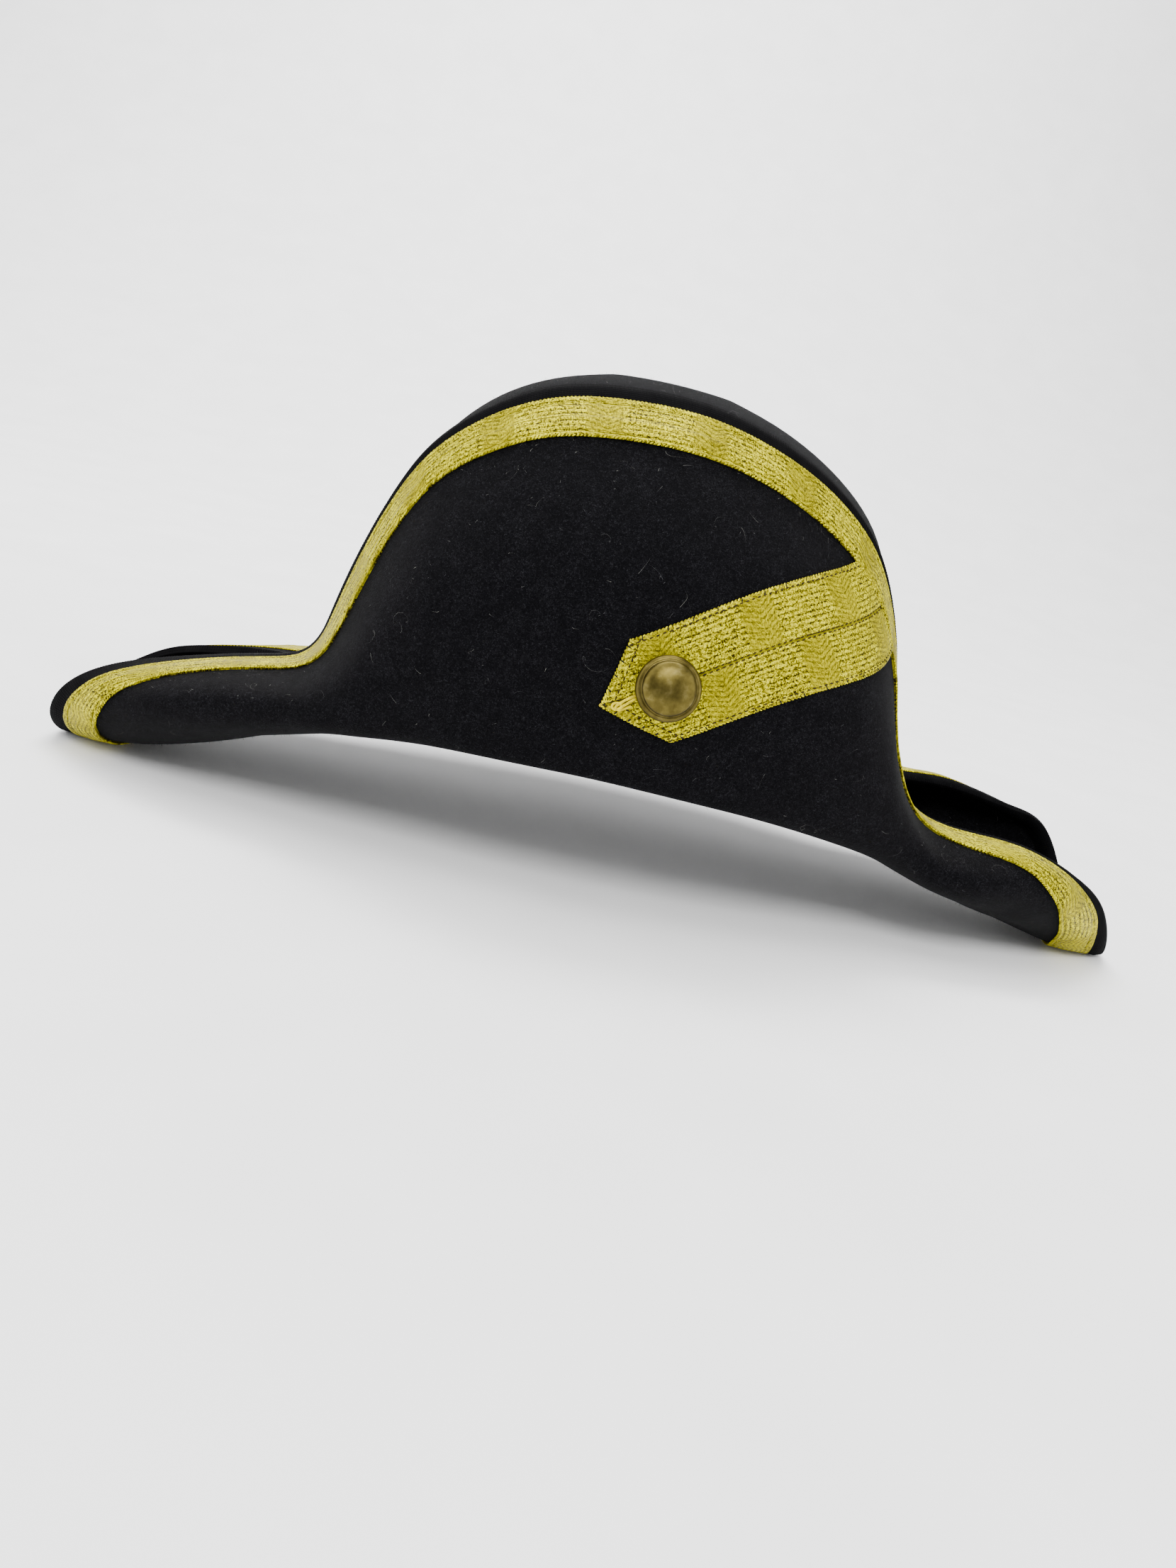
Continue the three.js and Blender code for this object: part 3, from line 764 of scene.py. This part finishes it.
def evened(field, times=6):
    """A grid of directions averaged with its neighbours, so that facets don't show."""
    for _ in range(times):
        grown = np.pad(field, ((1, 1), (1, 1), (0, 0)), mode="edge")
        field = unit(grown[:-2, 1:-1] + grown[2:, 1:-1] + grown[1:-1, :-2] + grown[1:-1, 2:]
                     + grown[1:-1, 1:-1])
    return field


loop_ground, loop_out = on_surface(loop_grid)
loop_out = evened(loop_out)
tape_width = loop_width / 2
tape_across = np.mod(row_across, tape_width + 1e-9)
upper_tape = (row_across < tape_width)[:, None]
from_seam = np.abs(row_across - tape_width)[:, None]
from_border = np.minimum(row_across, loop_width - row_across)[:, None]
loop_thread = loop_along - np.where(upper_tape, UPPER_CHEVRON, LOWER_CHEVRON)
weave = lace_relief(loop_thread, tape_across[:, None])
seam_groove = narrow_line(from_seam, 0, SEAM_HALF)
border_roll = narrow_line(from_border, SELVEDGE, SELVEDGE)
loop_height = LOOP_LIFT + weave * (1 - 0.7 * seam_groove) + (0.15 * border_roll - 0.45 * seam_groove) * MM
tucked = np.clip((loop_along - loop_along[:, -1:] + TUCK) / (3 * MM), 0, 1)
loop_height = loop_height * (1 - 0.65 * tucked)
loop_face = loop_ground + loop_out * loop_height[..., None]
loop_back = loop_ground + loop_out * BACK_LIFT

# %% close it into a flat solid
def flat_solid(name, face, back, along, across):
    """A closed sheet from a grid for its face and one for its back, with a UV map of its threads."""
    rows, steps = face.shape[:2]
    points = np.concatenate([face.reshape(-1, 3), back.reshape(-1, 3)])
    index = np.arange(rows * steps).reshape(rows, steps)
    over = np.stack([index[:-1, :-1], index[1:, :-1], index[1:, 1:], index[:-1, 1:]], -1).reshape(-1, 4)
    rim = np.concatenate([index[0, :-1], index[:-1, -1], index[-1, :0:-1], index[:0:-1, 0]])
    walls = np.stack([rim, np.roll(rim, -1), np.roll(rim, -1) + index.size, rim + index.size], 1)
    sheet = piece_from(name, points, np.concatenate([over, over[:, ::-1] + index.size, walls]))
    flat = np.stack([along, across[:, None] - swing(along)], -1).reshape(-1, 2)
    flat = np.concatenate([flat, flat])
    corner = np.zeros(len(sheet.data.loops), int)
    sheet.data.loops.foreach_get("vertex_index", corner)
    cloth_map(sheet, flat[corner])
    return outward_faces(sheet)


loop = flat_solid("lace_loop", loop_face, loop_back, loop_thread, tape_across)
hand_over(loop, gilt_lace, "loop_lace")

# %% [markdown]
# ## Sewing on the loop
# The two tapes are whipped together down the middle with dull thread, a sewn line holds the borders, and the
# outer edges are roped like the edge lace. Black stitches tack the borders to the felt, and the thread that
# holds the button ends in a small tangle in front of it.

# %% whip the seam and the borders
def laid(run, at, track, outs, lift, slant):
    """Stitches at these distances of the run along a track over the loop."""
    def read(field, where):
        return np.stack([np.interp(where, run, field[:, c]) for c in range(3)], 1)

    out = unit(read(outs, at))
    way = unit(read(track, at + 1 * MM) - read(track, at - 1 * MM))
    return read(track, at) + out * lift, leaning(way, out, slant), out


def grid_row(row, pitch, lift, slant):
    """Places, ways and outward sides of stitches along one row of the loop's grid, to its tucked end."""
    run = loop_along[row]
    at = np.arange(run[0] + pitch / 2, run[-1] - TUCK, pitch)
    return laid(run, at, loop_ground[row], loop_out[row], lift, slant)


def grid_column(column, pitch, lift, slant):
    """The same across the loop, down one column of its grid: the first is the folded point."""
    track = loop_ground[:, column]
    run = run_along(track)
    at = np.arange(pitch / 2, run[-1], pitch)
    return laid(run, at, track, loop_out[:, column], lift, slant)


ROPE_SLANT = math.radians(35)
ROPE_LIFT = 0.9 * MM
stitches("loop_rope_edges",
         [grid_row(1, WHIP_PITCH, ROPE_LIFT, ROPE_SLANT),
          grid_row(LOOP_ROWS - 2, WHIP_PITCH, ROPE_LIFT, -ROPE_SLANT),
          grid_column(1, WHIP_PITCH, ROPE_LIFT, ROPE_SLANT)],
         length=1.9 * MM, thick=0.7 * MM, material=gilt_lace)

# %% dull sewing thread
def dull_thread(name, dark, pale):
    """Spun sewing thread: matt, a little uneven in tone along its length."""
    thread = new_material(name)
    tone = ramp(thread, noise(thread, 1.5 * MM), (0.35, dark), (0.65, pale))
    return shaded(thread, {"Roughness": 0.8, "Specular IOR Level": 0.2}, {"Base Color": tone})


SEAM_ROW = LOOP_ROWS // 2
ROW_STEP = loop_width / (LOOP_ROWS - 1)
WHIP_SPREAD = round(SEAM_HALF / ROW_STEP)
BORDER_ROW = round(1.5 * MM / ROW_STEP)
BORDER_COLUMN = 10
SEAM_PITCH = 2.2 * MM
SEAM_LIFT = 0.78 * MM
BORDER_LIFT = 1.08 * MM
TACK_PITCH = 8.5 * MM
TACK_LIFT = 1.05 * MM
TACK_SLANT = 1.2
stitches("loop_seam_stitches",
         [grid_row(SEAM_ROW - WHIP_SPREAD, SEAM_PITCH, SEAM_LIFT, 0.15),
          grid_row(SEAM_ROW + WHIP_SPREAD, SEAM_PITCH, SEAM_LIFT, 0.15),
          grid_row(BORDER_ROW, SEAM_PITCH, BORDER_LIFT, 0.1),
          grid_row(LOOP_ROWS - 1 - BORDER_ROW, SEAM_PITCH, BORDER_LIFT, -0.1),
          grid_column(BORDER_COLUMN, SEAM_PITCH, BORDER_LIFT, 0.1)],
         length=1.5 * MM, thick=0.6 * MM,
         material=dull_thread("dull brown sewing thread", "#1C1600", "#3A2F04"))
stitches("loop_tack_stitches",
         [grid_row(2, TACK_PITCH, TACK_LIFT, TACK_SLANT),
          grid_row(LOOP_ROWS - 3, TACK_PITCH, TACK_LIFT, -TACK_SLANT),
          grid_column(2, 5 * MM, TACK_LIFT, TACK_SLANT)],
         length=1.5 * MM, thick=0.65 * MM,
         material=dull_thread("black tacking thread", "#0A0A0A", "#151515"))

# %% the tangle of gold thread
def loop_place(along, up, lift):
    """A place over the loop: along from its point, up from its seam, lift off its face."""
    row = int(np.clip(round((tape_width - up) / ROW_STEP), 0, LOOP_ROWS - 1))
    column = int(np.argmin(np.abs(loop_along[row] - along)))
    return loop_face[row, column] + loop_out[row, column] * lift


LOOSE = 1.5
# three strands: along from the loop's point, up from its seam and off its face, in mm
TANGLE = [
    [(13, 0.2, 0.3), (10, -0.6, 0.7), (7, -1.4, 1.0), (4.6, -2.4, 0.8), (3.4, -1.2, 0.4), (4.4, 0.2, 0.7),
     (6.4, 0.1, 1.0), (6.9, -1.8, 0.7), (5.4, -3.3, 0.3)],
    [(12.4, 0.9, 0.3), (9, 0.6, 0.8), (6, -0.2, 1.1), (4.2, -1.2, 1.0), (5, -2.6, 0.8), (7.2, -2.6, 0.5),
     (9.4, -2.2, 0.3)],
    [(0.4, 0.3, 0.2), (-0.9, 0.2, 0.5), (-1.3, 0.9, 0.4)],
]
strands = bpy.data.curves.new("button_thread_tangle", "CURVE")
strands.dimensions = "3D"
strands.bevel_depth = 0.45 * MM
strands.bevel_resolution = 1
strands.use_fill_caps = True
for strand in TANGLE:
    run = strands.splines.new("NURBS")
    run.points.add(len(strand) - 1)
    run.use_endpoint_u = True
    run.order_u = 4 if len(strand) > 3 else 3
    for point, (along, up, lift) in zip(run.points, strand):
        point.co = (*loop_place(along * MM, up * MM, LOOSE * lift * MM), 1)
tangle = bpy.data.objects.new("button_thread_tangle", strands)
bpy.context.collection.objects.link(tangle)
only(tangle)
bpy.ops.object.convert(target="MESH")
tangle = bpy.context.object
hand_over(outward_faces(tangle, 80), dull_thread("gold sewing thread", "#A89400", "#E0CE10"))

# %% [markdown]
# ## The button
# The button is a shell of gilt brass, stamped to a low dome inside a rolled rim. Its profile is drawn as a
# line of points and spun round its axis, which the CAD button gives: the direction in which it is thinnest.
# The rolled rim stands a little out past the CAD solid, and the button hangs in its thread tipped back, so
# that its dome catches light from above.

# %% find the button's axis
button_bm = merged("button")
button_points = np.array([v.co for v in button_bm.verts])
button_middle = button_points.mean(axis=0)
thinnest = np.linalg.svd(button_points - button_middle)[2][2]
if thinnest[1] > 0:
    thinnest = -thinnest
depths = (button_points - button_middle) @ thinnest
radii = np.linalg.norm(button_points - button_middle - depths[:, None] * thinnest, axis=1)
button_seat = button_middle + thinnest * depths.min()
button_radius, button_depth = radii.max(), np.ptp(depths)
print(f"button: {2 * button_radius / MM:.1f} mm wide, {button_depth / MM:.1f} mm deep")

# %% spin the button
BUTTON_SIDES = 96
RIM_SPREAD = 1.07
TIPPED = math.radians(12)
SLACK = 1.5 * MM
r, h = RIM_SPREAD * button_radius, button_depth
rim_round = [(r * (0.86 + 0.14 * math.cos(a)), h * (0.25 + 0.25 * math.sin(a)))
             for a in np.radians(np.linspace(-85, 88, 16))]
groove = [(0.848 * r, 0.495 * h), (0.83 * r, 0.51 * h), (0.818 * r, 0.55 * h)]
dome = [(0.81 * r * math.cos(a), h * (0.58 + 0.42 * math.sin(a)))
        for a in np.radians(np.linspace(3, 90, 21))]
profile = [(0.0, 0.0), (0.7 * r, 0.0)] + rim_round + groove + dome
profile[-1] = (0.0, h)
button = piece_from("gilt_button", [(x, 0, z) for x, z in profile], [])
only(button)
button.data.edges.add(len(profile) - 1)
for k, edge in enumerate(button.data.edges):
    edge.vertices = (k, k + 1)
mode("EDIT")
bpy.ops.mesh.select_all(action="SELECT")
bpy.ops.mesh.spin(steps=BUTTON_SIDES, angle=math.tau, center=(0, 0, 0), axis=(0, 0, 1))
bpy.ops.mesh.select_all(action="SELECT")
bpy.ops.mesh.remove_doubles(threshold=0.01 * MM)
mode("OBJECT")
faces_to = Matrix.Rotation(-TIPPED, 3, "X") @ Vector(thinnest)
turn = Vector((0, 0, 1)).rotation_difference(faces_to).to_matrix().to_4x4()
button.data.transform(Matrix.Translation(button_seat + SLACK * thinnest) @ turn)
outward_faces(button, 40)

# %% worn gilt brass
def worn_gilt_brass():
    """Gilding rubbed to a soft polish, with small pits and a few hairline scratches."""
    gilt = new_material("worn gilt brass")
    place = add(gilt, "ShaderNodeTexCoord").outputs["Object"]
    cloud = noise(gilt, 4 * MM, place, Detail=4.0, Roughness=0.6)
    pits = noise(gilt, 0.7 * MM, place, Detail=2.0)
    stretched = add(gilt, "ShaderNodeMapping", {"Scale": (1 / (9 * MM), 1 / MM, 1 / (0.25 * MM))},
                    {"Vector": place}).outputs["Vector"]
    hairs = noise(gilt, 1.0, stretched, Detail=1.0)
    tone = ramp(gilt, cloud, (0.3, "#3E3615"), (0.55, "#5A5026"), (0.8, "#7E7346"))
    shine = ranged(gilt, cloud, {"To Min": 0.3, "To Max": 0.42})
    marks = maths(gilt, "MULTIPLY_ADD", hairs, 0.4, pits)
    return shaded(gilt, {"Metallic": 1.0},
                  {"Base Color": tone, "Roughness": shine, "Normal": bumped(gilt, 0.12, 0.1 * MM, marks)})


hand_over(button, worn_gilt_brass(), "button")

# %% [markdown]
# ## Nap
# Felt is never bare: short crimped fibres stand off it, and pale lint clings to black cloth. Each fibre is a
# bent strip of a few faces; thousands of them soften the outline and break the light as real nap does.

# %% plant the fibres
def planted(name, count, length, width, bend, spread, tips, curl=0.0, settle=0.0):
    """Bent fibres at random places of the felt, leaning over; a curl turns them round as they run, and
    settle puts more of them where the felt faces up."""
    mesh = felt.data
    mesh.calc_loop_triangles()
    corners = np.array([[mesh.vertices[i].co for i in t.vertices] for t in mesh.loop_triangles])
    sides = corners[:, 1:] - corners[:, :1]
    crossed = np.cross(sides[:, 0], sides[:, 1])
    area = np.linalg.norm(crossed, axis=1)
    weight = area * (1 + settle * np.clip(unit(crossed)[:, 2], 0, 1) ** 3)
    pick = chance.choice(len(area), count, p=weight / weight.sum())
    share = chance.random((count, 2))
    share = np.where(share.sum(axis=1, keepdims=True) > 1, 1 - share, share)
    root = corners[pick, 0] + (sides[pick] * share[..., None]).sum(axis=1)
    out = unit(crossed[pick])
    lean = unit(np.cross(out, chance.normal(size=(count, 3))))
    side = np.cross(out, lean)
    reach = length * chance.uniform(0.5, 1.4, (count, 1))
    rise = chance.uniform(0.3, 1.0, (count, 1)) * spread
    turn = chance.normal(0, bend, (count, 1))
    round_by = curl * chance.normal(0, 6.0, (count, 1))
    spots = [root - out * 0.05 * MM]
    for k in range(1, tips + 1):
        t = k / tips
        weave_aside = turn * t * t + curl * 0.3 * np.sin(round_by * t)
        forward = t - curl * 0.25 * (1 - np.cos(round_by * t))
        spots.append(root + reach * (lean * forward + out * rise * math.sin(2.2 * t) + side * weave_aside))
    halves = [side * width * (1 - k / (tips + 0.5)) for k in range(tips + 1)]
    strip = [np.stack([p - half, p + half], 1) for p, half in zip(spots, halves)]
    points = np.stack(strip, 1).reshape(count, -1, 3)
    each = points.shape[1]
    faces = [(n * each + 2 * k, n * each + 2 * k + 1, n * each + 2 * k + 3, n * each + 2 * k + 2)
             for n in range(count) for k in range(tips)]
    return piece_from(name, points.reshape(-1, 3), faces)


nap = planted("felt_nap", 20000, length=1.2 * MM, width=0.035 * MM, bend=0.5, spread=0.9, tips=3)
hand_over(nap, felt_black)

# %% pale lint
def pale_lint():
    """Undyed wool and dust: pale grey, quite matt."""
    lint = new_material("pale lint")
    tone = ramp(lint, noise(lint, 11 * MM), (0.35, "#3E3E42"), (0.7, "#7C7B74"))
    return shaded(lint, {"Roughness": 0.9}, {"Base Color": tone})


lint_grey = pale_lint()
specks = planted("felt_lint_specks", 2200, length=0.9 * MM, width=0.05 * MM, bend=1.0, spread=0.3, tips=2,
                 settle=5)
hand_over(specks, lint_grey)
hairs = planted("felt_stray_hairs", 1300, length=5.5 * MM, width=0.03 * MM, bend=0.9, spread=0.2, tips=11,
                curl=1.0, settle=3)
hand_over(hairs, lint_grey)

# %% [markdown]
# ## Floor, light and camera
# The hat stands on a plain pale sweep that rises behind it, lit by large soft lights from above and both
# sides as in a light tent, and one more lights the sweep. The tent's open front is darker, which gives the
# button its dark middle, and a small light above it gives the dome its shine. The camera takes the
# photograph's angle.

# %% the pale sweep
def pale_paper():
    """Matt white background paper."""
    paper = new_material("pale background paper")
    tone = ramp(paper, noise(paper, 60 * MM), (0.3, "#F0F0F0"), (0.7, "#F5F5F5"))
    return shaded(paper, {"Roughness": 0.95, "Specular IOR Level": 0.1}, {"Base Color": tone})


SWEEP_WIDE, SWEEP_DEEP, SWEEP_HIGH = 8, 6, 5
SWEEP_BEND = 1.6
BEHIND = 2
bpy.ops.object.select_all(action="DESELECT")
bpy.ops.mesh.primitive_plane_add(size=1)
floor = bpy.context.object
floor.name = "floor"
mode("EDIT")
bpy.ops.transform.resize(value=(SWEEP_WIDE, SWEEP_DEEP, 1))
bpy.ops.transform.translate(value=(0, -0.6, 0))


def pick_edges(wanted):
    """Selects the floor's edges whose two ends are wanted, for editing."""
    bpy.ops.mesh.select_mode(type="EDGE")
    bpy.ops.mesh.select_all(action="DESELECT")
    mode("OBJECT")
    for edge in floor.data.edges:
        edge.select = all(wanted(floor.data.vertices[v].co) for v in edge.vertices)
    mode("EDIT")


pick_edges(lambda end: end.y > BEHIND)
bpy.ops.mesh.extrude_region_move(TRANSFORM_OT_translate={"value": (0, 0, SWEEP_HIGH)})
pick_edges(lambda end: end.y > BEHIND and end.z < 1)
bpy.ops.mesh.bevel(offset=SWEEP_BEND, segments=16, affect="EDGES")
mode("OBJECT")
bpy.ops.object.shade_smooth()
floor.data.materials.append(pale_paper())

# %% soft lights
def soft_light(name, place, size, power, aim=(0, 0, 0.08)):
    """A square light, turned to the hat unless it is aimed elsewhere."""
    bpy.ops.object.light_add(type="AREA", location=place)
    light = bpy.context.object
    light.name = name
    light.data.size = size
    light.data.energy = power
    light.rotation_euler = (Vector(aim) - Vector(place)).to_track_quat("-Z", "Y").to_euler()


soft_light("top_light", (-0.2, 0.0, 1.5), 1.4, 24)
soft_light("left_light", (-1.4, -0.6, 0.8), 1.2, 16)
soft_light("right_light", (1.3, -0.7, 0.7), 1.2, 14)
soft_light("front_light", (0.02, -1.0, 0.98), 0.42, 13)
soft_light("sweep_light", (-0.3, 0.9, 2.2), 1.6, 110, aim=(-0.3, 2.3, 0.5))
world = bpy.data.worlds.new("light tent")
bpy.context.scene.world = world
world.use_nodes = True
world.node_tree.nodes["Background"].inputs["Strength"].default_value = 0.86
opening = add(world, "ShaderNodeVectorMath", {"operation": "DOT_PRODUCT", 1: (0.0, -0.998, 0.07)},
              {0: add(world, "ShaderNodeTexCoord").outputs["Generated"]})
tent = ramp(world, ranged(world, opening.outputs["Value"], {"From Min": 1.0, "From Max": -1.0}),
            (0.0, "#505050"), (0.03, "#9A9A9A"), (0.12, "#F2F2F2"))
world.node_tree.links.new(tent, world.node_tree.nodes["Background"].inputs["Color"])

# %% the camera
EYE = Vector((-37.9, -458.0, 155.1)) * MM
RIGHT = Vector((0.97515, 0.0, 0.22155))
UP = Vector((-0.21243, 0.28402, 0.93499))
FORWARD = Vector((0.06292, 0.95882, -0.27696))
bpy.ops.object.camera_add(location=EYE)
camera = bpy.context.object
camera.matrix_world = Matrix.Translation(EYE) @ Matrix((RIGHT, UP, -FORWARD)).transposed().to_4x4()
camera.data.sensor_width = 36
camera.data.lens = 27
camera.data.clip_start = 0.01
bpy.context.scene.camera = camera

# %% finish
bpy.context.view_layer.update()
